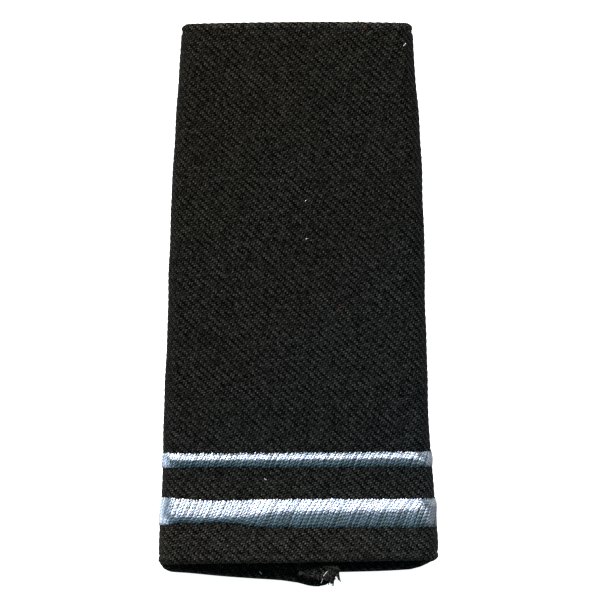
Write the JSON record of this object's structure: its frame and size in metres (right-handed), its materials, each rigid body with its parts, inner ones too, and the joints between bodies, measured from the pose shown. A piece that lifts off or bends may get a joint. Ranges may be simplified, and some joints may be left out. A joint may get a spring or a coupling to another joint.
{
  "type": "slip-on shoulder mark",
  "caption": "Soft black twill sleeve, tapered and open at both ends, with a narrow and a wide satin-stitched band, that slides over a uniform's shoulder strap.",
  "frame": {"origin": "middle of the flat of the back, half way along the front and between its side edges, on the surface that the sleeve lies on", "axes": "+X to the right as seen from the front, +Y along the sleeve to its narrow collar end, +Z out of the front"},
  "size_m": [0.0561, 0.113, 0.0093],
  "materials": {
    "twill": "matte",
    "overlocked_edge": "matte",
    "satin_thread": "satin"
  },
  "bodies": {
    "root": {"sleeve": "twill", "top_hem": "twill", "bottom_hem": "twill", "seam_allowance": "overlocked_edge", "narrow_stripe": "satin_thread", "wide_stripe": "satin_thread"}
  },
  "joints": []
}
